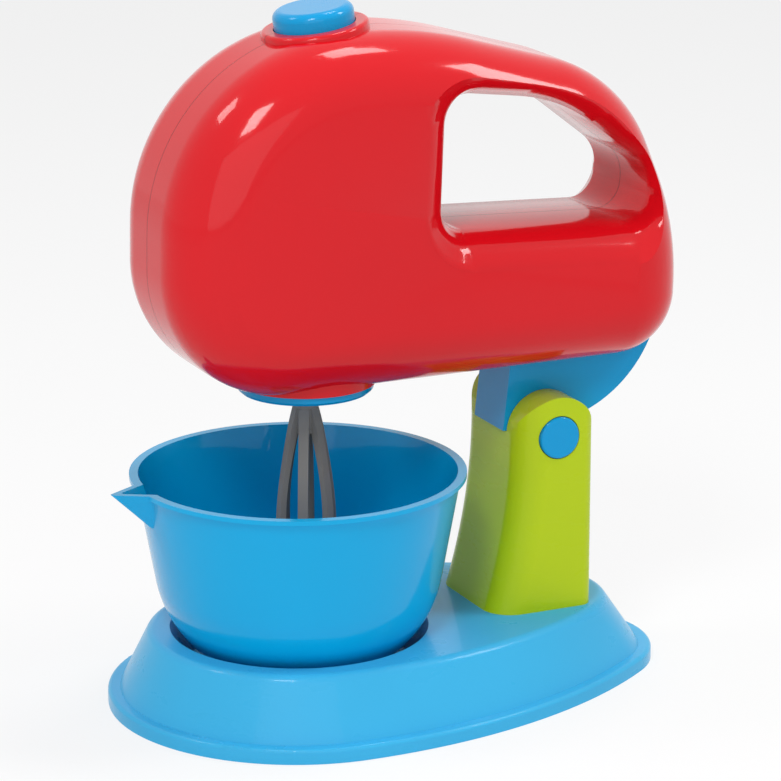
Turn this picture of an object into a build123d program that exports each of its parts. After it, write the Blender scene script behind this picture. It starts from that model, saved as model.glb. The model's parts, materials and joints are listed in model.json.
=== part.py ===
"""Toy stand mixer with a tilting head, a lift-out bowl and a turning whisk.

Millimetres. +Z is up, -X is the front where the whisk hangs, and the post stands at +X.
The origin is on the table, below the middle of the whole toy.
"""
import os
from math import acos, cos, pi, radians, sin, tan

from build123d import *

os.makedirs("parts", exist_ok=True)

# Places that several pieces share
bowl_axis_x = -34.5
whisk_axis_x = -31.5
pivot_x = 57.0
pivot_z = 92.0

# Clearances
slip_gap = 0.3
running_gap = 0.05
screw_gap = 0.05

# Base
base_front_radius = 69.0
base_rear_radius = 38.0
base_rear_x = 66.5
base_side_radius = 195.0
base_lip_height = 5.4
base_lip_ledge = 3.0
base_wall = 2.2
deck_z = 27.0
deck_front_radius = 54.0
deck_rear_radius = 35.0
deck_rear_x = 49.5
deck_side_radius = 170.0
deck_fillet = 4.0

# Seat of the bowl in the base
seat_mouth_radius = 46.5
seat_floor_radius = 38.5
seat_floor_z = 14.0
seat_step = 1.0

# Bowl
bowl_foot_radius = 30.0
bowl_foot_height = 1.2
bowl_belly_radius = 51.0
bowl_belly_z = 44.5
bowl_neck_radius = 57.2
bowl_neck_z = 79.0
bowl_rim_radius = 60.0
bowl_rim_z = 85.0
bowl_rim_height = 1.6
bowl_wall = 1.8
spout_reach = 72.0
spout_half_width = 12.0
spout_depth = 14.0
spout_tip_fillet = 1.2

# Post
post_half_width = 25.0
post_flare = 10.2
post_cheek_radius = 14.8
post_wall = 2.4
post_front_fillet = 11.0
post_rear_fillet = 5.0
post_stop_z = 92.6
slot_half_width = 12.0
slot_floor_z = 75.0
post_boss_radius = 4.0
post_boss_height = 18.0
post_boss_front_x = 44.0
post_boss_rear_x = 64.0
post_boss_y = 19.5

# Hinge
pin_radius = 4.0
cap_radius = 7.7
cap_depth = 2.3
cap_proud = 0.8
tongue_side_gap = 0.4
tongue_lobe_radius = 11.5
tongue_front_x = 41.0
block_front_x = 44.0
block_rear_x = 100.5
block_rear_z = 121.0
block_bulge_x = 88.0
block_bulge_z = 104.5
block_root_x = 70.0
block_root_z = 95.0

# Head: corners of the side outline with the radius of each, and the rounding of the cheeks
head_half_width = 35.0
head_bottom_z = 118.0
head_chin = ((-91.5, 118.0), 45.0)
head_brow = ((-89.0, 243.0), 68.0)
head_crest = ((5.0, 243.5), 150.0)
head_shoulder = ((84.0, 221.0), 55.0)
head_back = ((107.0, 165.0), 100.0)
head_heel = ((105.5, 118.0), 24.0)
head_round = 23.0
head_wall = 2.2

# Handle opening: corners with their radii, and the flare of its lip in steps of depth and angle
grip_corners = (
    ((11.0, 172.0), 9.0), ((13.0, 221.0), 9.0), ((58.0, 215.0), 60.0), ((94.0, 187.0), 14.0),
    ((92.5, 168.0), 10.0),
)
grip_straight = 20.0
grip_lip = ((9.0, 24.0), (7.0, 55.0))
grip_back = ((16.0, 38.0),)
grip_past = 1.0

# Collar under the head
collar_radius = 24.2
collar_drop = 3.2
collar_neck_radius = 19.8
collar_flange_radius = 22.5
collar_flange = 1.8
collar_chamfer = 1.0

# Button
button_x = -27.0
button_z = 243.0
button_tilt = 8.0
button_radius = 14.2
button_rise = 6.5
button_flange_radius = 16.4
button_flange = 1.6
button_stem_radius = 3.0
button_travel = 3.0
button_wall = 2.0
button_crown_fillet = 3.0
ring_radius = 19.0
ring_rise = 1.6
ring_depth = 8.0
ring_fillet = 1.4

# Switch below the button
switch_plate_drop = 20.0
switch_plate_thickness = 2.0
switch_plate_half_x = 13.0
switch_plate_half_y = 24.0
bridge_radius = 5.5
bridge_thickness = 0.6
terminal_gap = 0.3
terminal_width = 3.0
terminal_length = 9.0
ledge_thickness = 2.4
ledge_reach = 16.0
spring_wire = 0.8
spring_mean_radius = 8.0
spring_turns = 6

# Drive train
gear_module = 1.0
wheel_teeth = 36
pinion_teeth = 12
pressure_angle = radians(20)
addendum = 0.85
dedendum = 1.2
backlash = 0.16
flank_steps = 4
output_gear_z = 146.0
output_gear_width = 6.0
reduction_gear_z = 154.0
reduction_gear_width = 5.0
gear_overlap = 0.5
spindle_radius = 3.0
spindle_socket_radius = 5.1
spindle_top_z = 156.5
spindle_bottom_z = 113.4
socket_depth = 9.0
socket_across_flats = 6.0
press_gap = 0.02
axle_radius = 1.5
plate_z = 139.0
plate_thickness = 3.0
plate_half_width = 14.0
leg_radius = 3.0
leg_circle_radius = 17.5
motor_radius = 10.0
motor_flats = 15.0
motor_length = 25.0
motor_top_z = 150.0
motor_boss_radius = 3.0
motor_boss_height = 1.6
motor_shaft_radius = 1.0
cup_wall = 1.6

# Whisk
whisk_hub_radius = 4.3
whisk_hub_bottom_z = 99.0
whisk_shoulder_z = 108.0
whisk_radius = 10.9
whisk_rib_width = 3.6
whisk_rib_thickness = 2.4
whisk_bottom_z = 31.0
whisk_tip_radius = 3.2
whisk_loops = 3

# Batteries
cell_radius = 5.25
cell_length = 43.5
cell_nub_radius = 1.9
cell_nub_length = 1.0
cell_middle_x = 53.0
cell_y = 22.0
cell_lower_z = 137.6
cell_spacing = 11.3
tray_wall = 1.5
tray_end_room = 2.6
tray_foot_length = 4.0
tray_foot_z = 123.0
tray_foot_spacing = 20.0
contact_thickness = 0.5
contact_dome_radius = 2.5
door_gap = 0.3
door_rib = 2.0
lug_length = 7.0
lug_height = 8.0
lug_depth = 7.0

# Screws
screw_radius = 1.3
screw_head_radius = 2.6
screw_head_height = 1.7
screw_cross_length = 3.4
screw_cross_width = 0.8
screw_cross_depth = 0.8
case_boss_radius = 3.6
case_screw_seat = 12.0
case_screw_length = 22.0
case_boss_places = ((-72.0, 150.0), (-60.0, 206.0), (-1.0, 202.0), (29.6, 126.6), (98.5, 154.0))
block_screw_x = (48.0, 68.0)
block_screw_y = 6.0
block_screw_length = 9.0
post_screw_length = 14.0
door_screw_length = 11.5


def save(piece, name):
    """Label a finished piece and write its STEP file."""
    piece.label = name
    export_step(piece, f"parts/{name}.step")


def screw_set(plane, places, length):
    """Cross-head screws whose heads stand on the plane and whose shanks go down through it."""
    with BuildPart() as screws:
        with BuildSketch(plane):
            with Locations(*places):
                Circle(screw_head_radius)
        extrude(amount=screw_head_height)
        with BuildSketch(plane):
            with Locations(*places):
                Circle(screw_radius)
        extrude(amount=-length)
        with BuildSketch(plane.offset(screw_head_height)):
            with Locations(*places):
                Rectangle(screw_cross_length, screw_cross_width)
                Rectangle(screw_cross_width, screw_cross_length)
        extrude(amount=-screw_cross_depth, mode=Mode.SUBTRACT)
    return screws.part


def holes(plane, places, radius, depth):
    """Round pins below the plane, used to cut holes at the given places."""
    with BuildPart() as pins:
        with BuildSketch(plane):
            with Locations(*places):
                Circle(radius)
        extrude(amount=-depth)
    return pins.part


# Base shell, a hollow moulding with a dished seat for the bowl

def egg_plan(front_radius, rear_radius, rear_x, side_radius, inset):
    """Egg-shaped plan about the bowl's axis in the open sketch, drawn in by inset."""
    span = rear_x - bowl_axis_x
    reach_front = side_radius - front_radius
    reach_rear = side_radius - rear_radius
    along = (reach_front ** 2 - reach_rear ** 2 + span ** 2) / (2 * span)
    across = (reach_front ** 2 - along ** 2) ** 0.5
    start = Vector(bowl_axis_x, 0) + Vector(-along, across).normalized() * (front_radius - inset)
    end = Vector(rear_x, 0) + Vector(span - along, across).normalized() * (rear_radius - inset)
    side = Vector(bowl_axis_x + along, side_radius - inset - across)
    with BuildLine() as plan:
        ThreePointArc((start.X, -start.Y), (bowl_axis_x - front_radius + inset, 0), (start.X, start.Y))
        ThreePointArc((start.X, start.Y), (side.X, side.Y), (end.X, end.Y))
        ThreePointArc((end.X, end.Y), (rear_x + rear_radius - inset, 0), (end.X, -end.Y))
        ThreePointArc((end.X, -end.Y), (side.X, -side.Y), (start.X, -start.Y))
    make_face(plan.edges())


def base_plan(inset):
    egg_plan(base_front_radius, base_rear_radius, base_rear_x, base_side_radius, inset)


def deck_plan(inset):
    egg_plan(deck_front_radius, deck_rear_radius, deck_rear_x, deck_side_radius, inset)


def seat_profile(grow, drop):
    """Half section of the bowl's seat in the open sketch, grown sideways and dropped."""
    floor = seat_floor_z - drop
    foot = bowl_foot_radius + slip_gap + grow
    with BuildLine() as section:
        Polyline(
            (0, floor),
            (foot, floor),
            (foot, floor + seat_step),
            (seat_floor_radius + grow, floor + seat_step),
            (seat_mouth_radius + grow, deck_z),
            (0, deck_z),
            close=True,
        )
    make_face(section.edges())


bowl_section = Plane(origin=(bowl_axis_x, 0, 0), x_dir=(1, 0, 0), z_dir=(0, -1, 0))
bowl_axis = Axis((bowl_axis_x, 0, 0), (0, 0, 1))
post_boss_places = [
    (x, y) for x in (post_boss_front_x, post_boss_rear_x) for y in (-post_boss_y, post_boss_y)
]

with BuildPart() as base_hollow:
    with BuildSketch():
        base_plan(base_lip_ledge + base_wall)
    with BuildSketch(Plane.XY.offset(deck_z - base_wall)):
        deck_plan(base_wall)
    loft(ruled=True)
    with BuildSketch(bowl_section):
        seat_profile(base_wall, base_wall)
    revolve(axis=bowl_axis, mode=Mode.SUBTRACT)

with BuildPart() as base_shell:
    with BuildSketch():
        base_plan(0)
    extrude(amount=base_lip_height)
    fillet(base_shell.faces().sort_by(Axis.Z)[-1].edges(), radius=base_lip_ledge / 2)
    with BuildSketch(Plane.XY.offset(base_lip_height / 2)):
        base_plan(base_lip_ledge)
    with BuildSketch(Plane.XY.offset(deck_z)):
        deck_plan(0)
    loft(ruled=True)
    fillet(base_shell.faces().sort_by(Axis.Z)[-1].edges(), radius=deck_fillet)
    add(base_hollow.part, mode=Mode.SUBTRACT)
    with BuildSketch(bowl_section):
        seat_profile(0, 0)
    revolve(axis=bowl_axis, mode=Mode.SUBTRACT)
    add(
        holes(Plane.XY.offset(deck_z), post_boss_places, screw_radius + screw_gap, 2 * base_wall),
        mode=Mode.SUBTRACT,
    )
save(base_shell.part, "base_shell")


# Post, a hollow moulding that ends in two cheeks

post_rear_x = pivot_x + post_cheek_radius


def post_front(z):
    """Front of the post at height z: plumb at the pivot and flared towards the base."""
    fall = max(0, pivot_z - z) / (pivot_z - deck_z)
    return pivot_x - post_cheek_radius - post_flare * fall ** 2


def post_plan(z, inset):
    """Rounded plan of the post at height z in the open sketch, drawn in by inset."""
    front = post_front(z) + inset
    rear = post_rear_x - inset
    side = post_half_width - inset
    front_corner = post_front_fillet - inset
    rear_corner = post_rear_fillet - inset
    with BuildLine() as plan:
        FilletPolyline(
            (front, -side), (rear, -side), (rear, side), (front, side),
            radius=[front_corner, rear_corner, rear_corner, front_corner],
            close=True,
        )
    make_face(plan.edges())


post_top_z = pivot_z + post_cheek_radius
hollow_top_z = slot_floor_z - post_wall
flare_steps = 3

with BuildPart() as post_hollow:
    for step in range(flare_steps + 1):
        level = deck_z + (hollow_top_z - deck_z) * step / flare_steps
        with BuildSketch(Plane.XY.offset(level)):
            post_plan(level, post_wall)
    loft()
    with BuildSketch(Plane.XY.offset(deck_z)):
        with Locations(*post_boss_places):
            Circle(post_boss_radius)
    extrude(amount=post_boss_height, mode=Mode.SUBTRACT)

slot_front_x = pivot_x - tongue_lobe_radius - slip_gap
with BuildPart() as post:
    for step in range(flare_steps + 1):
        level = deck_z + (pivot_z - deck_z) * step / flare_steps
        with BuildSketch(Plane.XY.offset(level)):
            post_plan(level, 0)
    loft()
    with BuildSketch(Plane.XY.offset(pivot_z)):
        post_plan(pivot_z, 0)
    extrude(amount=post_cheek_radius)
    with BuildSketch(Plane.XZ):
        with Locations((pivot_x, pivot_z)):
            Circle(post_cheek_radius)
        with Locations((pivot_x, (deck_z + pivot_z) / 2)):
            Rectangle(4 * post_half_width, pivot_z - deck_z)
    extrude(amount=2 * post_half_width, both=True, mode=Mode.INTERSECT)
    with BuildSketch(Plane.XZ):
        with BuildLine():
            Polyline(
                (post_front(deck_z), post_stop_z),
                (slot_front_x, post_stop_z),
                (slot_front_x, slot_floor_z),
                (post_rear_x + post_wall, slot_floor_z),
                (post_rear_x + post_wall, post_top_z + post_wall),
                (post_front(deck_z), post_top_z + post_wall),
                close=True,
            )
        make_face()
    extrude(amount=slot_half_width, both=True, mode=Mode.SUBTRACT)
    add(post_hollow.part, mode=Mode.SUBTRACT)
    with BuildSketch(Plane.XZ):
        with Locations((pivot_x, pivot_z)):
            Circle(pin_radius + running_gap)
    extrude(amount=2 * post_half_width, both=True, mode=Mode.SUBTRACT)
    for side in (-1, 1):
        with BuildSketch(Plane.XZ.offset(side * post_half_width)):
            with Locations((pivot_x, pivot_z)):
                Circle(cap_radius + slip_gap)
        extrude(amount=-side * cap_depth, mode=Mode.SUBTRACT)
    add(
        holes(
            Plane.XY.offset(deck_z + post_screw_length),
            post_boss_places,
            screw_radius + screw_gap,
            post_screw_length,
        ),
        mode=Mode.SUBTRACT,
    )
save(post.part, "post")

with BuildPart() as post_screws:
    add(screw_set(
        Plane(origin=(0, 0, deck_z - base_wall), x_dir=(1, 0, 0), z_dir=(0, 0, -1)),
        [(x, -y) for x, y in post_boss_places],
        post_screw_length,
    ))
save(post_screws.part, "post_screws")

# Hinge pin and the two caps that close the cheeks over it

pin_half_length = post_half_width - cap_depth
with BuildPart() as hinge_pin:
    with BuildSketch(Plane.XZ):
        with Locations((pivot_x, pivot_z)):
            Circle(pin_radius)
    extrude(amount=pin_half_length, both=True)
save(hinge_pin.part, "hinge_pin")

for side, name in ((1, "pivot_cap_left"), (-1, "pivot_cap_right")):
    with BuildPart() as pivot_cap:
        with BuildSketch(Plane.XZ.offset(side * pin_half_length)):
            with Locations((pivot_x, pivot_z)):
                Circle(cap_radius)
        extrude(amount=side * (cap_depth + cap_proud))
        fillet(pivot_cap.faces().sort_by(Axis.Y)[0 if side > 0 else -1].edges(), radius=cap_proud)
    save(pivot_cap.part, name)


# Bowl with a pouring lip

def bowl_profile(inset):
    """Half section of the bowl in the open sketch, drawn in by inset from the outside."""
    lift = seat_floor_z + inset
    top = bowl_rim_z + (inset > 0) * bowl_wall
    foot = bowl_foot_radius - inset
    with BuildLine() as section:
        Line((0, lift), (foot, lift))
        Line((foot, lift), (foot, seat_floor_z + bowl_foot_height + inset))
        ThreePointArc(
            (foot, seat_floor_z + bowl_foot_height + inset),
            (bowl_belly_radius - 6.9 - inset, bowl_belly_z - 16.0),
            (bowl_belly_radius - inset, bowl_belly_z),
        )
        Line((bowl_belly_radius - inset, bowl_belly_z), (bowl_neck_radius - inset, bowl_neck_z))
        Line((bowl_neck_radius - inset, bowl_neck_z), (bowl_rim_radius - bowl_wall / 2 - inset, top))
        Line((bowl_rim_radius - bowl_wall / 2 - inset, top), (0, top))
        Line((0, top), (0, lift))
    make_face(section.edges())


def spout_wedge(inset):
    """Pouring lip as a solid wedge on the front of the rim, drawn in by inset."""
    root = bowl_neck_radius - 3 * bowl_wall
    low = bowl_rim_z - spout_depth + inset
    high = bowl_rim_z + (inset > 0) * bowl_wall
    tip = spout_reach - 1.3 * inset
    half = spout_half_width - inset
    with BuildPart() as wedge:
        with BuildSketch(Plane.XY.offset(high)):
            with BuildLine():
                Polyline(
                    (bowl_axis_x - tip, 0),
                    (bowl_axis_x - root, half),
                    (bowl_axis_x - root, -half),
                    close=True,
                )
            make_face()
        with BuildSketch(Plane.XY.offset(low)):
            with BuildLine():
                Polyline(
                    (bowl_axis_x - bowl_neck_radius + inset, 0),
                    (bowl_axis_x - root, half / 3),
                    (bowl_axis_x - root, -half / 3),
                    close=True,
                )
            make_face()
        loft(ruled=True)
        fillet(wedge.edges().sort_by(Axis.X)[0], radius=spout_tip_fillet)
    return wedge.part


with BuildPart() as mixing_bowl:
    with BuildSketch(bowl_section):
        bowl_profile(0)
        with Locations((bowl_rim_radius - bowl_wall, bowl_rim_z - bowl_rim_height / 2)):
            Rectangle(2 * bowl_wall, bowl_rim_height)
    revolve(axis=bowl_axis)
    add(spout_wedge(0))
    with BuildSketch(bowl_section):
        bowl_profile(bowl_wall)
    revolve(axis=bowl_axis, mode=Mode.SUBTRACT)
    add(spout_wedge(bowl_wall), mode=Mode.SUBTRACT)
save(mixing_bowl.part, "mixing_bowl")


# Head, two half shells that meet on the middle plane

def rounded_outline(corners, grow):
    """Outline through the corners in the open sketch, each with its radius, grown all round."""
    with BuildLine() as outline:
        Polyline(*[place for place, radius in corners], close=True)
    make_face(outline.edges())
    for place, radius in corners:
        fillet(vertices().sort_by_distance(place)[0], radius=radius)
    if grow:
        offset(amount=grow, mode=Mode.REPLACE)


def grip_tool(grow, flares):
    """Solid that cuts the handle opening: straight in the middle, flared towards the cheek."""
    with BuildPart() as tool:
        with BuildSketch(Plane.XZ.offset(-grip_past)):
            rounded_outline(grip_corners, grow)
        extrude(amount=grip_past + grip_straight)
        depth = grip_straight
        for step, angle in flares:
            with BuildSketch(Plane.XZ.offset(depth)):
                rounded_outline(grip_corners, grow)
            extrude(amount=step, taper=-angle)
            depth += step
            grow += step * tan(radians(angle))
    return tool.part


def head_half(inset, flares):
    """Near half of the head as a solid, with the handle opening cut through."""
    with BuildPart() as half:
        with BuildSketch(Plane.XZ):
            rounded_outline(
                (head_chin, head_brow, head_crest, head_shoulder, head_back, head_heel), -inset
            )
        extrude(amount=head_half_width - inset)
        fillet(half.faces().sort_by(Axis.Y)[0].edges(), radius=head_round - inset)
        add(grip_tool(inset, flares), mode=Mode.SUBTRACT)
    return half.part


outer_half = head_half(0, grip_lip)
inner_half = head_half(head_wall, grip_back)
floor_top_z = head_bottom_z + head_wall
block_screw_places = [(x, y) for x in block_screw_x for y in (-block_screw_y, block_screw_y)]
button_axis = Vector(-sin(radians(button_tilt)), 0, cos(radians(button_tilt)))
button_plane = Plane(
    origin=(button_x, 0, button_z),
    x_dir=(cos(radians(button_tilt)), 0, sin(radians(button_tilt))),
    z_dir=button_axis,
)
ledge_plane = button_plane.offset(-switch_plate_drop)
near_side = Plane(origin=(0, 0, 0), x_dir=(1, 0, 0), z_dir=(0, -1, 0))

# Flat pad for the collar and raised ring for the button, before the inside is hollowed
with BuildPart() as button_ring:
    with BuildSketch(button_plane.offset(ring_rise)):
        Circle(ring_radius)
    extrude(amount=-ring_depth)
    fillet(button_ring.edges().filter_by(GeomType.CIRCLE).sort_by(Axis.Z)[-1], radius=ring_fillet)

with BuildPart() as near_form:
    add(outer_half)
    with BuildSketch(Plane.XY.offset(head_bottom_z)):
        with Locations((whisk_axis_x, 0)):
            Circle(collar_radius + head_wall / 2)
    extrude(amount=2 * head_wall)
    add(button_ring.part)
    split(bisect_by=near_side, keep=Keep.TOP)

# Bosses for the case screws and ledges for the switch plate, trimmed to the outside
with BuildPart() as near_bosses:
    with BuildSketch(near_side):
        with Locations(*case_boss_places):
            Circle(case_boss_radius)
    extrude(amount=head_half_width)
    with BuildSketch(ledge_plane.offset(-switch_plate_thickness)):
        with Locations((0, -head_half_width + ledge_reach / 2)):
            Rectangle(2 * switch_plate_half_x, ledge_reach)
    extrude(amount=-ledge_thickness)
    add(outer_half, mode=Mode.INTERSECT)

# Holes and pockets for the collar, the button and the screws of the hinge block
with BuildPart() as near_cuts:
    with BuildSketch(Plane.XY.offset(head_bottom_z - head_wall)):
        with Locations((whisk_axis_x, 0)):
            Circle(collar_neck_radius + slip_gap)
        with Locations(*block_screw_places):
            Circle(screw_radius + screw_gap)
    extrude(amount=3 * head_wall)
    with BuildSketch(Plane.XY.offset(floor_top_z)):
        with Locations((whisk_axis_x, 0)):
            Circle(collar_flange_radius + slip_gap)
        with Locations(*block_screw_places):
            Circle(screw_head_radius + slip_gap)
    extrude(amount=2 * head_wall)
    with BuildSketch(button_plane.offset(2 * ring_rise)):
        Circle(button_radius + slip_gap)
    extrude(amount=-ring_depth)
    with BuildSketch(button_plane.offset(ring_rise - head_wall)):
        Circle(button_flange_radius + slip_gap)
    extrude(amount=-ring_depth)

with BuildPart() as shell_blank:
    add(near_form.part)
    add(inner_half, mode=Mode.SUBTRACT)
    add(near_bosses.part)
    add(near_cuts.part, mode=Mode.SUBTRACT)

with BuildPart() as head_shell_left:
    add(shell_blank.part)
    add(
        holes(near_side.offset(case_screw_length - case_screw_seat), case_boss_places,
              screw_radius + screw_gap, case_screw_length),
        mode=Mode.SUBTRACT,
    )
save(head_shell_left.part, "head_shell_left")

# Battery door, cut out of the far shell and ribbed to hold the cells
door_low_x = cell_middle_x - cell_length / 2 - tray_end_room - tray_wall - lug_length
door_high_x = cell_middle_x + cell_length / 2
door_low_z = cell_lower_z - cell_radius
door_high_z = cell_lower_z + cell_spacing + cell_radius
door_screw_place = (door_low_x + lug_length / 2, (door_low_z + door_high_z) / 2)
far_blank = mirror(shell_blank.part, about=Plane.XZ)
far_outer = mirror(outer_half, about=Plane.XZ)


def door_block(gap):
    """Block of the door's outline, drawn in by gap, from inside the cell tray out past the cheek.

    It stands on the near side, and is mirrored to the far side with what it cuts."""
    with BuildPart() as block:
        with BuildSketch(Plane.XZ.offset(cell_y + head_wall)):
            with Locations(((door_low_x + door_high_x) / 2, (door_low_z + door_high_z) / 2)):
                Rectangle(door_high_x - door_low_x - 2 * gap, door_high_z - door_low_z - 2 * gap)
        extrude(amount=head_half_width - cell_y)
    return block.part


screw_back = Plane(origin=(0, head_half_width, 0), x_dir=(-1, 0, 0), z_dir=(0, 1, 0))
far_boss_places = [(-x, z) for x, z in case_boss_places]
with BuildPart() as head_shell_right:
    add(far_blank)
    add(mirror(door_block(0), about=Plane.XZ), mode=Mode.SUBTRACT)
    add(
        holes(screw_back, far_boss_places, screw_radius + screw_gap, head_half_width),
        mode=Mode.SUBTRACT,
    )
    add(
        holes(screw_back, far_boss_places, screw_head_radius + slip_gap, head_half_width - case_screw_seat),
        mode=Mode.SUBTRACT,
    )
save(head_shell_right.part, "head_shell_right")

case_seat_plane = Plane(origin=(0, case_screw_seat, 0), x_dir=(-1, 0, 0), z_dir=(0, 1, 0))
with BuildPart() as case_screws:
    add(screw_set(case_seat_plane, far_boss_places, case_screw_length - screw_head_height))
save(case_screws.part, "case_screws")

door_seat_y = head_half_width - head_wall
rib_start = cell_y + cell_radius + slip_gap
with BuildPart() as near_door:
    add(door_block(door_gap))
    add(outer_half, mode=Mode.INTERSECT)
    add(inner_half, mode=Mode.SUBTRACT)
    with BuildSketch(Plane.XZ.offset(rib_start)):
        with Locations((cell_middle_x, (door_low_z + door_high_z) / 2)):
            with GridLocations(cell_length / 2, 0, 2, 1):
                Rectangle(door_rib, door_high_z - door_low_z - 4 * tray_wall)
        with Locations(door_screw_place):
            Circle(lug_length / 2)
    extrude(amount=head_half_width - head_wall / 2 - rib_start)

with BuildPart() as battery_door:
    add(mirror(near_door.part, about=Plane.XZ))
    add(
        holes(screw_back, [(-door_screw_place[0], door_screw_place[1])], screw_radius + screw_gap,
              head_half_width),
        mode=Mode.SUBTRACT,
    )
    add(
        holes(screw_back, [(-door_screw_place[0], door_screw_place[1])], screw_head_radius + slip_gap,
              head_half_width - door_seat_y),
        mode=Mode.SUBTRACT,
    )
save(battery_door.part, "battery_door")

with BuildPart() as door_screw:
    add(screw_set(
        Plane(origin=(0, door_seat_y, 0), x_dir=(-1, 0, 0), z_dir=(0, 1, 0)),
        [(-door_screw_place[0], door_screw_place[1])],
        door_screw_length,
    ))
save(door_screw.part, "door_screw")

# Hinge block, the tongue under the head that swings between the cheeks of the post
tongue_half_width = slot_half_width - tongue_side_gap
with BuildPart() as hinge_block:
    with BuildSketch(Plane.XZ):
        with BuildLine():
            Polyline(
                (pivot_x, post_stop_z + slip_gap),
                (tongue_front_x, post_stop_z + slip_gap),
                (block_front_x, head_bottom_z + head_wall),
                (block_rear_x, block_rear_z + head_wall),
                (block_rear_x, block_rear_z),
            )
            ThreePointArc(
                (block_rear_x, block_rear_z), (block_bulge_x, block_bulge_z), (block_root_x, block_root_z)
            )
            Line((block_root_x, block_root_z), (pivot_x, post_stop_z + slip_gap))
        make_face()
        with Locations((pivot_x, pivot_z)):
            Circle(tongue_lobe_radius)
    extrude(amount=tongue_half_width, both=True)
    add(outer_half, mode=Mode.SUBTRACT)
    add(far_outer, mode=Mode.SUBTRACT)
    with BuildSketch(Plane.XZ):
        with Locations((pivot_x, pivot_z)):
            Circle(pin_radius + running_gap)
    extrude(amount=post_half_width, both=True, mode=Mode.SUBTRACT)
    add(
        holes(Plane.XY.offset(floor_top_z), block_screw_places, screw_radius + screw_gap,
              block_screw_length),
        mode=Mode.SUBTRACT,
    )
save(hinge_block.part, "hinge_block")

with BuildPart() as block_screws:
    add(screw_set(Plane.XY.offset(floor_top_z), block_screw_places, block_screw_length))
save(block_screws.part, "block_screws")

# Collar that guides the spindle through the underside of the head
collar_top_z = head_bottom_z - running_gap
flange_bottom_z = floor_top_z + running_gap
flange_top_z = flange_bottom_z + collar_flange
with BuildPart() as collar:
    with BuildSketch(Plane.XY.offset(collar_top_z)):
        with Locations((whisk_axis_x, 0)):
            Circle(collar_radius)
    extrude(amount=-collar_drop)
    chamfer(collar.edges().sort_by(Axis.Z)[0], length=collar_chamfer)
    with BuildSketch(Plane.XY.offset(collar_top_z)):
        with Locations((whisk_axis_x, 0)):
            Circle(collar_neck_radius)
    extrude(amount=flange_bottom_z - collar_top_z)
    with BuildSketch(Plane.XY.offset(flange_bottom_z)):
        with Locations((whisk_axis_x, 0)):
            Circle(collar_flange_radius)
    extrude(amount=collar_flange)
    with BuildSketch(Plane.XY.offset(flange_top_z)):
        with Locations((whisk_axis_x, 0)):
            Circle(spindle_socket_radius + running_gap)
    extrude(amount=collar_top_z - collar_drop - flange_top_z, mode=Mode.SUBTRACT)
save(collar.part, "collar")

# Gear plate on four legs, with the cup that holds the motor
gear_reach = gear_module * (wheel_teeth + pinion_teeth) / 2
axle_x = whisk_axis_x + gear_reach
motor_x = axle_x + gear_reach
motor_bottom_z = motor_top_z - motor_length
plate_top_z = plate_z + plate_thickness
cup_inner_x = motor_flats + 2 * slip_gap
cup_inner_y = 2 * (motor_radius + slip_gap)
with BuildPart() as gear_plate:
    with BuildSketch(Plane.XY.offset(plate_z)):
        with Locations((whisk_axis_x, 0)):
            Circle(leg_circle_radius + leg_radius + cup_wall)
        with Locations(((whisk_axis_x + motor_x + cup_inner_x / 2 + cup_wall) / 2, 0)):
            Rectangle(motor_x + cup_inner_x / 2 + cup_wall - whisk_axis_x, 2 * plate_half_width)
    extrude(amount=plate_thickness)
    with BuildSketch(Plane.XY.offset(flange_top_z)):
        with Locations((whisk_axis_x, 0)):
            with PolarLocations(leg_circle_radius, 4, start_angle=45):
                Circle(leg_radius)
    extrude(amount=plate_z - flange_top_z)
    with BuildSketch(Plane.XY.offset(motor_bottom_z - cup_wall)):
        with Locations((motor_x, 0)):
            Rectangle(cup_inner_x + 2 * cup_wall, cup_inner_y + 2 * cup_wall)
    extrude(amount=plate_z - motor_bottom_z + cup_wall)
    with BuildSketch(Plane.XY.offset(plate_top_z)):
        with Locations((motor_x, 0)):
            Rectangle(cup_inner_x, cup_inner_y)
    extrude(amount=-(plate_top_z - motor_bottom_z), mode=Mode.SUBTRACT)
    with BuildSketch(Plane.XY.offset(plate_top_z)):
        with Locations((whisk_axis_x, 0)):
            Circle(spindle_radius + running_gap)
        with Locations((axle_x, 0)):
            Circle(axle_radius + press_gap)
    extrude(amount=-plate_thickness, mode=Mode.SUBTRACT)
save(gear_plate.part, "gear_plate")


# Gears, with involute flanks worked out from the base circle

def tooth_outline(teeth):
    """Corner points of one tooth that points along +X."""
    pitch = gear_module * teeth / 2
    root = pitch - dedendum * gear_module
    tip = pitch + addendum * gear_module
    base = pitch * cos(pressure_angle)
    half_pitch = pi / (2 * teeth) - backlash / (2 * pitch) + tan(pressure_angle) - pressure_angle
    flank = [(root - dedendum * gear_module / 2, half_pitch)]
    for step in range(flank_steps + 1):
        radius = max(base, root) + (tip - max(base, root)) * step / flank_steps
        roll = acos(min(1, base / radius))
        flank.append((radius, half_pitch - tan(roll) + roll))
    upper = [(radius * cos(turn), radius * sin(turn)) for radius, turn in flank]
    return upper + [(x, -y) for x, y in reversed(upper)]


def gear(x, z, teeth, width, start_angle):
    """Spur gear blank about the upright line through x, from z up."""
    with BuildPart() as blank:
        with BuildSketch(Plane.XY.offset(z)):
            with Locations((x, 0)):
                Circle(gear_module * (teeth / 2 - dedendum))
                with PolarLocations(0, teeth, start_angle=start_angle):
                    Polygon(*tooth_outline(teeth), align=None)
        extrude(amount=width)
    return blank.part


def round_pin(x, z, radius, height):
    """Upright round pin from z up, added as a shaft or cut as a bore."""
    with BuildPart() as pin:
        with BuildSketch(Plane.XY.offset(z)):
            with Locations((x, 0)):
                Circle(radius)
        extrude(amount=height)
    return pin.part


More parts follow.
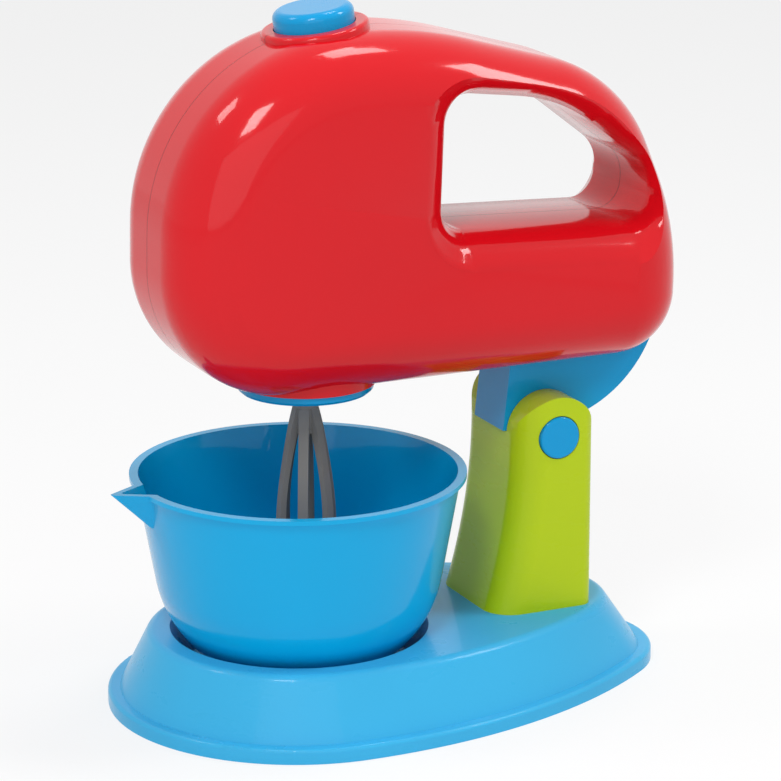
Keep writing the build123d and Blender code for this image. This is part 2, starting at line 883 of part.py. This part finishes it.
hub_bottom_z = plate_top_z + slip_gap
with BuildPart() as output_gear:
    add(gear(whisk_axis_x, output_gear_z, wheel_teeth, output_gear_width, 0))
    add(round_pin(whisk_axis_x, hub_bottom_z, spindle_socket_radius, output_gear_z - hub_bottom_z))
    add(
        round_pin(whisk_axis_x, hub_bottom_z, spindle_radius + press_gap,
             output_gear_z + output_gear_width - hub_bottom_z),
        mode=Mode.SUBTRACT,
    )
save(output_gear.part, "output_gear")

with BuildPart() as reduction_gear:
    add(gear(axle_x, output_gear_z - gear_overlap, pinion_teeth,
             reduction_gear_z - output_gear_z + gear_overlap, 180 / pinion_teeth))
    add(gear(axle_x, reduction_gear_z, wheel_teeth, reduction_gear_width, 0))
    add(round_pin(axle_x, hub_bottom_z, 2 * axle_radius, output_gear_z - hub_bottom_z))
    add(
        round_pin(axle_x, hub_bottom_z, axle_radius + running_gap,
             reduction_gear_z + reduction_gear_width - hub_bottom_z),
        mode=Mode.SUBTRACT,
    )
save(reduction_gear.part, "reduction_gear")

axle_top_z = reduction_gear_z + reduction_gear_width + axle_radius
with BuildPart() as gear_axle:
    add(round_pin(axle_x, plate_z, axle_radius, axle_top_z - plate_z))
save(gear_axle.part, "gear_axle")

with BuildPart() as motor_pinion:
    add(gear(motor_x, reduction_gear_z - gear_overlap, pinion_teeth,
             reduction_gear_width + 2 * gear_overlap, 180 / pinion_teeth))
    add(
        round_pin(motor_x, reduction_gear_z - gear_overlap, motor_shaft_radius + press_gap,
             reduction_gear_width + 2 * gear_overlap),
        mode=Mode.SUBTRACT,
    )
save(motor_pinion.part, "motor_pinion")

with BuildPart() as motor_shaft:
    add(round_pin(motor_x, motor_top_z, motor_shaft_radius, axle_top_z - motor_top_z))
save(motor_shaft.part, "motor_shaft")

with BuildPart() as motor:
    with BuildSketch(Plane.XY.offset(motor_bottom_z)):
        with Locations((motor_x, 0)):
            Circle(motor_radius)
            Rectangle(motor_flats, 2 * motor_radius, mode=Mode.INTERSECT)
    extrude(amount=motor_length)
    add(round_pin(motor_x, motor_top_z, motor_boss_radius, motor_boss_height))
    add(
        round_pin(motor_x, motor_top_z, motor_shaft_radius + running_gap, motor_boss_height),
        mode=Mode.SUBTRACT,
    )
save(motor.part, "motor")

# Spindle that carries the output gear and takes the stem of the whisk in its socket
shoulder_z = plate_z - slip_gap
with BuildPart() as drive_spindle:
    add(round_pin(whisk_axis_x, spindle_bottom_z, spindle_socket_radius, shoulder_z - spindle_bottom_z))
    add(round_pin(whisk_axis_x, shoulder_z, spindle_radius, spindle_top_z - shoulder_z))
    with BuildSketch(Plane.XY.offset(spindle_bottom_z)):
        with Locations((whisk_axis_x, 0)):
            RegularPolygon(socket_across_flats / 2 + press_gap, 6, major_radius=False)
    extrude(amount=socket_depth, mode=Mode.SUBTRACT)
save(drive_spindle.part, "drive_spindle")


# Whisk, crossed loops on a hub with a six-sided stem

def balloon(inset):
    """Outline of one loop of the whisk in the open sketch, drawn in by inset."""
    drop = whisk_shoulder_z - whisk_bottom_z
    wide = whisk_radius - inset
    neck = whisk_hub_radius - inset
    top = whisk_shoulder_z - inset
    right = (
        (neck, top),
        (0.68 * whisk_radius - inset, whisk_shoulder_z - 0.18 * drop),
        (wide, whisk_shoulder_z - 0.55 * drop),
        (0.72 * whisk_radius - inset, whisk_bottom_z + 0.14 * drop),
        (0, whisk_bottom_z + inset),
    )
    left = [(-x, z) for x, z in right]
    with BuildLine() as loop:
        Spline(*right, tangents=((0.3, -1), (-1, 0)))
        Spline(*left, tangents=((-0.3, -1), (1, 0)))
        Line((neck, top), (-neck, top))
    return loop.edges()


stem_top_z = spindle_bottom_z + socket_depth - slip_gap
hub_top_z = spindle_bottom_z - slip_gap
with BuildPart() as whisk:
    for loop in range(whisk_loops):
        turn = radians(180 * loop / whisk_loops)
        loop_plane = Plane(
            origin=(whisk_axis_x, 0, 0), x_dir=(cos(turn), sin(turn), 0), z_dir=(sin(turn), -cos(turn), 0)
        )
        with BuildSketch(loop_plane):
            make_face(balloon(0))
            make_face(balloon(whisk_rib_thickness), mode=Mode.SUBTRACT)
        extrude(amount=whisk_rib_width / 2, both=True)
    add(round_pin(whisk_axis_x, whisk_hub_bottom_z, whisk_hub_radius, hub_top_z - whisk_hub_bottom_z))
    add(round_pin(whisk_axis_x, whisk_bottom_z, whisk_tip_radius, 2 * whisk_rib_thickness))
    with BuildSketch(Plane.XY.offset(hub_top_z)):
        with Locations((whisk_axis_x, 0)):
            RegularPolygon(socket_across_flats / 2, 6, major_radius=False)
    extrude(amount=stem_top_z - hub_top_z)
save(whisk.part, "whisk")

# Start button with its stem, spring and contacts; heights are measured along the button's axis
button_top = ring_rise + button_rise
button_flange_top = ring_rise - head_wall - slip_gap
bridge_top = -switch_plate_drop + contact_thickness + terminal_gap + button_travel + bridge_thickness
with BuildPart() as start_button:
    with BuildSketch(button_plane.offset(button_top)):
        Circle(button_radius)
    extrude(amount=button_flange_top - button_top)
    fillet(start_button.edges().sort_by(Axis.Z)[-1], radius=button_crown_fillet)
    with BuildSketch(button_plane.offset(button_flange_top)):
        Circle(button_flange_radius)
    extrude(amount=-button_flange)
    with BuildSketch(button_plane.offset(button_top - button_wall)):
        Circle(button_radius - button_wall)
    extrude(amount=button_flange_top - button_flange - button_top + button_wall, mode=Mode.SUBTRACT)
    with BuildSketch(button_plane.offset(button_top - button_wall)):
        Circle(button_stem_radius)
    extrude(amount=bridge_top - button_top + button_wall)
save(start_button.part, "start_button")

with BuildPart() as contact_bridge:
    with BuildSketch(button_plane.offset(bridge_top)):
        Circle(bridge_radius)
    extrude(amount=-bridge_thickness)
save(contact_bridge.part, "contact_bridge")

with BuildPart() as switch_plate:
    with BuildSketch(ledge_plane):
        Rectangle(2 * switch_plate_half_x, 2 * switch_plate_half_y)
    extrude(amount=-switch_plate_thickness)
save(switch_plate.part, "switch_plate")

with BuildPart() as switch_terminals:
    with BuildSketch(ledge_plane):
        with GridLocations(2 * terminal_width, 0, 2, 1):
            Rectangle(terminal_width, terminal_length)
    extrude(amount=contact_thickness)
save(switch_terminals.part, "switch_terminals")

spring_foot = spring_wire / 2 - switch_plate_drop
spring_length = button_top - button_wall - spring_wire / 2 - spring_foot
with BuildPart() as button_spring:
    with BuildLine() as coil:
        Helix(spring_length / spring_turns, spring_length, spring_mean_radius,
              center=button_plane.offset(spring_foot).origin, direction=button_axis)
    with BuildSketch(Plane(origin=coil.line @ 0, z_dir=coil.line % 0)):
        Circle(spring_wire / 2)
    sweep(path=coil.line)
save(button_spring.part, "button_spring")

# Batteries in their tray behind the door
cell_upper_z = cell_lower_z + cell_spacing
cell_front_x = cell_middle_x - cell_length / 2
cell_back_x = cell_middle_x + cell_length / 2
tray_middle = (cell_middle_x, (cell_lower_z + cell_upper_z) / 2)
tray_length = cell_length + 2 * tray_end_room + 2 * tray_wall
tray_height = cell_spacing + 2 * (cell_radius + slip_gap + tray_wall)
tray_back_y = cell_y - cell_radius - slip_gap - tray_wall
tray_open_y = cell_y + cell_radius
tray_bottom_z = tray_middle[1] - tray_height / 2


def disc(x, z, radius, length):
    """Round bar along X at the cells' depth, from x by the signed length."""
    with BuildPart() as bar:
        with BuildSketch(Plane.YZ.offset(x)):
            with Locations((cell_y, z)):
                Circle(radius)
        extrude(amount=length)
    return bar.part


with BuildPart() as battery_lower:
    add(disc(cell_front_x, cell_lower_z, cell_radius, cell_length))
    add(disc(cell_back_x, cell_lower_z, cell_nub_radius, cell_nub_length))
save(battery_lower.part, "battery_lower")

with BuildPart() as battery_upper:
    add(disc(cell_front_x, cell_upper_z, cell_radius, cell_length))
    add(disc(cell_front_x, cell_upper_z, cell_nub_radius, -cell_nub_length))
save(battery_upper.part, "battery_upper")

with BuildPart() as battery_tray:
    with BuildSketch(Plane.XZ.offset(-tray_back_y)):
        with Locations(tray_middle):
            Rectangle(tray_length, tray_height)
    extrude(amount=tray_back_y - tray_open_y)
    with BuildSketch(Plane.XZ.offset(-tray_back_y - tray_wall)):
        with Locations(tray_middle):
            Rectangle(tray_length - 2 * tray_wall, tray_height - 2 * tray_wall)
    extrude(amount=tray_back_y + tray_wall - tray_open_y, mode=Mode.SUBTRACT)
    with BuildSketch(Plane.XZ.offset(-tray_open_y)):
        with Locations((tray_middle[0] - (tray_length + lug_length) / 2, tray_middle[1])):
            Rectangle(lug_length, lug_height)
    extrude(amount=lug_depth)
    with BuildSketch(Plane.XY.offset(tray_foot_z)):
        with Locations((cell_middle_x, cell_y - cell_radius / 2)):
            with GridLocations(tray_foot_spacing, 0, 2, 1):
                Rectangle(tray_foot_length, cell_radius)
    extrude(amount=tray_bottom_z - tray_foot_z)
    add(
        holes(screw_back, [(-door_screw_place[0], door_screw_place[1])], screw_radius + screw_gap,
              head_half_width - tray_back_y),
        mode=Mode.SUBTRACT,
    )
save(battery_tray.part, "battery_tray")

link_x = cell_front_x - tray_end_room
link_length = tray_end_room - contact_thickness
with BuildPart() as battery_link:
    with BuildSketch(Plane.YZ.offset(link_x)):
        with Locations((cell_y, tray_middle[1])):
            Rectangle(2 * cell_radius - 2 * tray_wall, cell_spacing + cell_radius)
    extrude(amount=contact_thickness)
    add(disc(link_x + contact_thickness, cell_lower_z, contact_dome_radius, link_length))
    add(disc(link_x + contact_thickness, cell_upper_z, contact_dome_radius, link_length - cell_nub_length))
save(battery_link.part, "battery_link")

terminal_x = cell_back_x + tray_end_room
with BuildPart() as battery_terminals:
    with BuildSketch(Plane.YZ.offset(terminal_x)):
        with Locations((cell_y, cell_lower_z), (cell_y, cell_upper_z)):
            Rectangle(2 * cell_radius - 2 * tray_wall, cell_radius)
    extrude(amount=-contact_thickness)
    add(disc(terminal_x - contact_thickness, cell_lower_z, contact_dome_radius,
             cell_nub_length - link_length))
    add(disc(terminal_x - contact_thickness, cell_upper_z, contact_dome_radius, -link_length))
save(battery_terminals.part, "battery_terminals")
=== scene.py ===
"""Looks of the toy mixer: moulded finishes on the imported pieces, soft studio light and the camera."""
import json
from math import cos, pi, radians, sin

import bmesh
import bpy
from mathutils import Matrix, Vector


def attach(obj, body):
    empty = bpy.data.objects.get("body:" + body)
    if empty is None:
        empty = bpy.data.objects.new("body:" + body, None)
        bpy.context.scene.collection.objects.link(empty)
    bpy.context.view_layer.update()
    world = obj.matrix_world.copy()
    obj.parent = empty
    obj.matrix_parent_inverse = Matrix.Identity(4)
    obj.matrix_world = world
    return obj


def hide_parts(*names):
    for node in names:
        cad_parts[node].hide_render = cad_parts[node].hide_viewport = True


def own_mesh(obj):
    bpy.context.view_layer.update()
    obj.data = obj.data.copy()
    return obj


MM = 0.001
SHELL_TURN = radians(38)
PIECE_TURN = radians(30)
WELD_REACH = 0.005 * MM
SEAM_HALF_WIDTH = 0.22 * MM
SEAM_DEPTH = 0.25 * MM
CELL_BAND_START = 66 * MM
WIRE_SIDES = 10
STEPS_PER_TURN = 28

VIEW_AZIMUTH = radians(-25)
VIEW_HEIGHT = radians(16)
VIEW_DISTANCE = 1.35
VIEW_TARGET = Vector((1.7, 0, 109.8)) * MM
VIEW_WIDTH = 279 * MM
SENSOR_WIDTH = 36.0

# Strength of the white surround as light on the pieces, and as it is seen or mirrored.
AIR_LIGHT = 0.4
AIR_SEEN = 1.0
# Share of plain white in the floor as it is seen; the rest takes the shadow.
FLOOR_GLOW = 0.75
FLOOR_SIZE = 6.0
FLOOR_DROP = 0.05 * MM
LAMP_TARGET = Vector((0, 0, 0.12))
# Name, place, width and height in metres, and watts of each lamp.
LAMPS = (
    ("key", (-0.6, -0.74, 1.1), 0.3, 0.36, 6.0),
    ("fill", (-0.6, -1.25, 0.5), 1.4, 0.9, 3.6),
    ("side", (0.85, -0.35, 1.0), 0.3, 0.3, 4.4),
    ("top", (0.3, 0.1, 1.25), 0.3, 0.3, 3.2),
    ("left", (-0.75, 0.3, 1.1), 0.25, 0.25, 2.2),
)


class Wire:
    """One output of a bench's nodes. Sums, products and comparisons of wires add Math nodes."""

    def __init__(self, bench, socket):
        self.bench = bench
        self.socket = socket

    def maths(self, operation, first, second=0.0):
        made = self.bench.node("ShaderNodeMath", {"operation": operation}, {0: first, 1: second})
        return made["Value"]

    def __add__(self, other):
        return self.maths("ADD", self, other)

    def __radd__(self, other):
        return self.maths("ADD", other, self)

    def __sub__(self, other):
        return self.maths("SUBTRACT", self, other)

    def __rsub__(self, other):
        return self.maths("SUBTRACT", other, self)

    def __mul__(self, other):
        return self.maths("MULTIPLY", self, other)

    def __rmul__(self, other):
        return self.maths("MULTIPLY", other, self)

    def __lt__(self, other):
        return self.maths("LESS_THAN", self, other)

    def __gt__(self, other):
        return self.maths("GREATER_THAN", self, other)

    def __abs__(self):
        return self.maths("ABSOLUTE", self)


class Bench:
    """A node tree, and the one way of adding nodes to it."""

    def __init__(self, tree):
        self.tree = tree

    def feed(self, socket, value):
        if isinstance(value, Wire):
            self.tree.links.new(value.socket, socket)
        else:
            socket.default_value = value

    def node(self, kind, settings=None, inputs=None):
        """Add a node, its settings before its sockets' values or wires, and give its outputs by name."""
        made = self.tree.nodes.new(kind)
        for setting, value in (settings or {}).items():
            setattr(made, setting, value)
        for socket, value in (inputs or {}).items():
            self.feed(made.inputs[socket], value)
        return {socket.name: Wire(self, socket) for socket in made.outputs if socket.enabled}

    def shown(self):
        """1 for what is seen, straight, mirrored or through a piece, and 0 for what only lights."""
        path = self.node("ShaderNodeLightPath")
        straight = path["Is Camera Ray"]
        mirrored = straight.maths("MAXIMUM", straight, path["Is Glossy Ray"])
        return straight.maths("MAXIMUM", mirrored, path["Is Transmission Ray"])


class Finish(Bench):
    """A material made of nodes around one Principled shader."""

    def __init__(self, name, **constants):
        self.material = bpy.data.materials.new(name)
        self.material.use_nodes = True
        super().__init__(self.material.node_tree)
        self.shader = self.tree.nodes["Principled BSDF"]
        for socket, value in constants.items():
            self.shader.inputs[socket.replace("_", " ")].default_value = value

    def place(self):
        """Object coordinates in metres."""
        return self.node("ShaderNodeTexCoord")["Object"]

    def along(self, where, axis):
        """One axis of the coordinates."""
        return self.node("ShaderNodeSeparateXYZ", None, {0: where})[axis]

    def noise(self, where, scale, detail=2.0, stretch=None):
        if stretch:
            where = self.node("ShaderNodeMapping", None, {"Vector": where, "Scale": stretch})["Vector"]
        made = self.node(
            "ShaderNodeTexNoise", None,
            {"Vector": where, "Scale": scale, "Detail": detail, "Roughness": 0.55},
        )
        return made["Fac"] if "Fac" in made else made["Factor"]

    def tint(self, amount, first, second):
        """Colour between two others."""
        made = self.node(
            "ShaderNodeMix", {"data_type": "RGBA", "clamp_factor": True},
            {0: amount, 6: first, 7: second},
        )
        return made["Result"]

    def relief(self, height, depth, strength=1.0, under=None):
        inputs = {"Height": height, "Distance": depth, "Strength": strength}
        if under:
            inputs["Normal"] = under
        return self.node("ShaderNodeBump", None, inputs)["Normal"]

    def wear(self, colour=None, roughness=None, normal=None, metallic=None):
        for socket, value in (
            ("Base Color", colour), ("Roughness", roughness), ("Normal", normal), ("Metallic", metallic)
        ):
            if value is not None:
                self.feed(self.shader.inputs[socket], value)
        return self.material


def shade(colour, amount):
    """The colour made darker or lighter, with its alpha."""
    return tuple(min(1.0, part * amount) for part in colour) + (1.0,)


def moulded(name, colour, roughness, coat, peel, seam=False):
    """Injection-moulded plastic: a faint flow of tone, smears, fine skin and an optional seam."""
    finish = Finish(
        name, Coat_Weight=coat, Coat_Roughness=0.04, Coat_IOR=1.45, IOR=1.48, Specular_IOR_Level=0.12
    )
    where = finish.place()
    flow = finish.noise(where, 9.0, 3.0)
    smear = finish.noise(where, 38.0, 4.0, (1.0, 1.0, 2.6))
    speck = finish.noise(where, 900.0, 1.0)
    scuff = finish.noise(where, 260.0, 5.0, (1.0, 1.0, 0.08)) > 0.74
    base = finish.tint(flow, shade(colour, 0.93), shade(colour, 1.05))
    base = finish.tint(scuff * 0.10, base, shade(colour, 1.5))
    rough = roughness + (smear - 0.5) * (roughness * 0.7) + scuff * 0.08
    skin = finish.relief(speck, peel)
    if seam:
        line = abs(finish.along(where, "Y")) < SEAM_HALF_WIDTH
        base = finish.tint(line * 0.75, base, shade(colour, 0.22))
        rough = rough + line * 0.4
        skin = finish.relief(1.0 - line, SEAM_DEPTH, 0.6, skin)
    return finish.wear(base, rough, skin)


def turned_metal(name, colour, roughness, scale, stretch):
    """Drawn or turned metal: fine lines along the work and a cloud of tarnish."""
    finish = Finish(name, Metallic=1.0)
    where = finish.place()
    lines = finish.noise(where, scale, 3.0, stretch)
    tarnish = finish.noise(where, 120.0, 3.0)
    base = finish.tint(tarnish, shade(colour, 0.78), shade(colour, 1.08))
    return finish.wear(base, roughness + (lines - 0.5) * 0.22, finish.relief(lines, 0.02 * MM))


def cell_sleeve(name):
    """Printed sleeve of a cell: a dark body with a copper-coloured band at one end."""
    finish = Finish(name, Coat_Weight=0.4)
    where = finish.place()
    band = finish.along(where, "X") > CELL_BAND_START
    cloud = finish.noise(where, 60.0, 2.0)
    body = finish.tint(cloud, (0.015, 0.018, 0.022, 1), (0.03, 0.034, 0.04, 1))
    return finish.wear(
        finish.tint(band, body, (0.62, 0.30, 0.12, 1)), 0.26 + cloud * 0.1, None, 0.35 + band * 0.5
    )


def pressed_board(name):
    """Brown pressed board with flecks of fibre."""
    finish = Finish(name)
    fibre = finish.noise(finish.place(), 700.0, 4.0, (1.0, 0.25, 1.0))
    base = finish.tint(fibre, (0.17, 0.075, 0.028, 1), (0.34, 0.18, 0.08, 1))
    return finish.wear(base, 0.55 + fibre * 0.2, finish.relief(fibre, 0.05 * MM))


def rounded_shading(turn):
    """Node group that shades a piece smoothly and keeps its edges sharper than the turn."""
    group = bpy.data.node_groups.new(f"shading_{round(turn * 100)}", "GeometryNodeTree")
    group.interface.new_socket("Geometry", in_out="INPUT", socket_type="NodeSocketGeometry")
    group.interface.new_socket("Geometry", in_out="OUTPUT", socket_type="NodeSocketGeometry")
    bench = Bench(group)
    loose = bench.node("NodeGroupInput")["Geometry"]
    welded = bench.node(
        "GeometryNodeMergeByDistance", None, {"Geometry": loose, "Distance": WELD_REACH}
    )["Geometry"]
    bare = bench.node(
        "GeometryNodeRemoveAttribute", None, {"Geometry": welded, "Name": "custom_normal"}
    )["Geometry"]
    smooth = bench.node("GeometryNodeSetShadeSmooth", None, {"Geometry": bare})["Geometry"]
    bend = bench.node("GeometryNodeInputMeshEdgeAngle")["Unsigned Angle"]
    creased = bench.node(
        "GeometryNodeSetShadeSmooth", {"domain": "EDGE"},
        {"Geometry": smooth, "Selection": bend > turn, "Shade Smooth": False},
    )["Geometry"]
    bench.node("NodeGroupOutput", None, {0: creased})
    return group


def dress(piece, finish, shading):
    """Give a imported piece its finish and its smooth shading."""
    piece.data.materials.clear()
    piece.data.materials.append(finish)
    rounding = piece.modifiers.new("rounding", "NODES")
    rounding.node_group = shading
    weighing = piece.modifiers.new("weighing", "WEIGHTED_NORMAL")
    weighing.mode = "FACE_AREA_WITH_ANGLE"
    weighing.weight = 50
    weighing.keep_sharp = True


def wound_spring(name, foot, axis, radius, wire, length, turns):
    """Round wire wound about an axis, from the middle of its first turn."""
    wound = bmesh.new()
    bmesh.ops.create_circle(
        wound, segments=WIRE_SIDES, radius=wire,
        matrix=Matrix.Translation((radius, 0, 0)) @ Matrix.Rotation(pi / 2, 4, "X"),
    )
    steps = STEPS_PER_TURN * turns
    bmesh.ops.spin(
        wound, geom=wound.verts[:] + wound.edges[:], cent=(0, 0, 0), axis=(0, 0, 1),
        dvec=(0, 0, length / steps), angle=2 * pi * turns, steps=steps,
    )
    bmesh.ops.holes_fill(wound, edges=[edge for edge in wound.edges if edge.is_boundary], sides=0)
    bmesh.ops.recalc_face_normals(wound, faces=wound.faces[:])
    stand = Matrix.Translation(foot) @ axis.to_track_quat("Z", "Y").to_matrix().to_4x4()
    bmesh.ops.transform(wound, matrix=stand, verts=wound.verts[:])
    for face in wound.faces:
        face.smooth = True
    mesh = bpy.data.meshes.new(name)
    wound.to_mesh(mesh)
    wound.free()
    piece = bpy.data.objects.new(name, mesh)
    bpy.context.scene.collection.objects.link(piece)
    return piece


def studio():
    """White surround, pale floor, lamps and camera."""
    scene = bpy.context.scene
    scene.view_settings.view_transform = "Standard"
    world = bpy.data.worlds.new("studio")
    scene.world = world
    world.use_nodes = True
    air = Bench(world.node_tree)
    sky = world.node_tree.nodes["Background"]
    air.feed(sky.inputs["Color"], (1, 1, 1, 1))
    air.feed(sky.inputs["Strength"], AIR_LIGHT + air.shown() * (AIR_SEEN - AIR_LIGHT))

    bpy.ops.mesh.primitive_plane_add(size=FLOOR_SIZE, location=(0, 0, -FLOOR_DROP))
    floor = bpy.context.object
    floor.name = "floor"
    paper = Finish("floor_paper", Roughness=0.9, Specular_IOR_Level=0.1)
    cloud = paper.noise(paper.place(), 3.0, 2.0)
    paper.wear(paper.tint(cloud, (0.86, 0.86, 0.87, 1), (0.9, 0.9, 0.9, 1)))
    glow = paper.node("ShaderNodeEmission", None, {"Color": (1, 1, 1, 1), "Strength": 1.0})["Emission"]
    lit = paper.node("ShaderNodeMixShader", None, {0: paper.shown() * FLOOR_GLOW, 2: glow})["Shader"]
    paper.tree.links.new(paper.shader.outputs[0], lit.socket.node.inputs[1])
    paper.feed(paper.tree.nodes["Material Output"].inputs["Surface"], lit)
    floor.data.materials.append(paper.material)

    for name, place, width, height, watts in LAMPS:
        lamp = bpy.data.lights.new(name, "AREA")
        lamp.shape = "RECTANGLE"
        lamp.size = width
        lamp.size_y = height
        lamp.energy = watts
        holder = bpy.data.objects.new(name, lamp)
        scene.collection.objects.link(holder)
        holder.location = place
        aim = LAMP_TARGET - holder.location
        holder.rotation_euler = aim.to_track_quat("-Z", "Y").to_euler()

    lens = bpy.data.cameras.new("camera")
    lens.sensor_width = SENSOR_WIDTH
    lens.lens = SENSOR_WIDTH * VIEW_DISTANCE / VIEW_WIDTH
    lens.clip_start = 0.01
    camera = bpy.data.objects.new("camera", lens)
    scene.collection.objects.link(camera)
    outward = Vector((
        sin(VIEW_AZIMUTH) * cos(VIEW_HEIGHT), -cos(VIEW_AZIMUTH) * cos(VIEW_HEIGHT), sin(VIEW_HEIGHT)
    ))
    camera.location = VIEW_TARGET + outward * VIEW_DISTANCE
    camera.rotation_euler = (-outward).to_track_quat("-Z", "Y").to_euler()
    scene.camera = camera


RED = (0.66, 0.005, 0.011)
BOWL_BLUE = (0.0, 0.39, 0.74)
BASE_BLUE = (0.045, 0.44, 0.76)
TRIM_BLUE = (0.0, 0.31, 0.64)
GREEN = (0.46, 0.6, 0.006)
GREY = (0.27, 0.255, 0.235)

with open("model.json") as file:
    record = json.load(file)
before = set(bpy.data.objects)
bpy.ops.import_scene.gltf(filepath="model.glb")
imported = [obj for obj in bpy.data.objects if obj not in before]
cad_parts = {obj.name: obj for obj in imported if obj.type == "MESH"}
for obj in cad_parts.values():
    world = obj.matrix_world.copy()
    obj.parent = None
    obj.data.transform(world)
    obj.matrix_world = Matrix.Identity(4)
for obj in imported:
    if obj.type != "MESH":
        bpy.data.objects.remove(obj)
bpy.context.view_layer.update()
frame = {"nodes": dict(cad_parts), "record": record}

red_shell = moulded("red_shell", RED, 0.13, 0.4, 0.012 * MM, seam=True)
red_door = moulded("red_door", RED, 0.16, 0.5, 0.015 * MM)
bowl_gloss = moulded("bowl_gloss", BOWL_BLUE, 0.2, 0.35, 0.015 * MM)
base_satin = moulded("base_satin", BASE_BLUE, 0.3, 0.2, 0.03 * MM)
trim_gloss = moulded("trim_gloss", TRIM_BLUE, 0.22, 0.3, 0.02 * MM)
post_satin = moulded("post_satin", GREEN, 0.28, 0.25, 0.03 * MM)
whisk_matt = moulded("whisk_matt", GREY, 0.5, 0.0, 0.012 * MM)
nylon_white = moulded("nylon_white", (0.8, 0.78, 0.71), 0.42, 0.0, 0.02 * MM)
tray_black = moulded("tray_black", (0.022, 0.022, 0.024), 0.45, 0.0, 0.04 * MM)
screw_steel = turned_metal("screw_steel", (0.62, 0.62, 0.63), 0.3, 900.0, (1, 1, 0.2))
can_steel = turned_metal("can_steel", (0.52, 0.52, 0.53), 0.34, 700.0, (1, 1, 0.05))
contact_brass = turned_metal("contact_brass", (0.76, 0.53, 0.21), 0.28, 800.0, (1, 0.1, 1))
sleeve = cell_sleeve("cell_sleeve")
board = pressed_board("pressed_board")

FINISHES = {
    "red": red_shell, "bowl_blue": bowl_gloss, "base_blue": base_satin, "trim_blue": trim_gloss,
    "green": post_satin, "grey": whisk_matt, "nylon": nylon_white, "black": tray_black,
    "board_brown": board, "cell_wrap": sleeve, "steel": screw_steel, "motor_steel": can_steel,
    "contact_steel": screw_steel, "brass": contact_brass,
}
shell_shading = rounded_shading(SHELL_TURN)
piece_shading = rounded_shading(PIECE_TURN)
for entry in frame["record"]["subparts"]:
    node = entry["node"]
    shell = node.startswith("head_shell")
    finish = red_door if node == "battery_door" else FINISHES[entry["material_slot"]]
    dress(frame["nodes"][node], finish, shell_shading if shell else piece_shading)

press_lean = radians(8)
press_axis = Vector((-sin(press_lean), 0, cos(press_lean)))
press_place = Vector((-27.0, 0, 243.0)) * MM
spring_height = 26.1 * MM
spring_radius = 8.0 * MM
spring_wire = 0.4 * MM
spring_turns = 6
spring = wound_spring(
    "pressed_spring", press_place - press_axis * (20 * MM - spring_wire), press_axis,
    spring_radius, spring_wire, spring_height - 2 * spring_wire, spring_turns,
)
spring.data.materials.append(screw_steel)
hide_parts("button_spring")
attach(spring, "head")
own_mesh(spring)

studio()
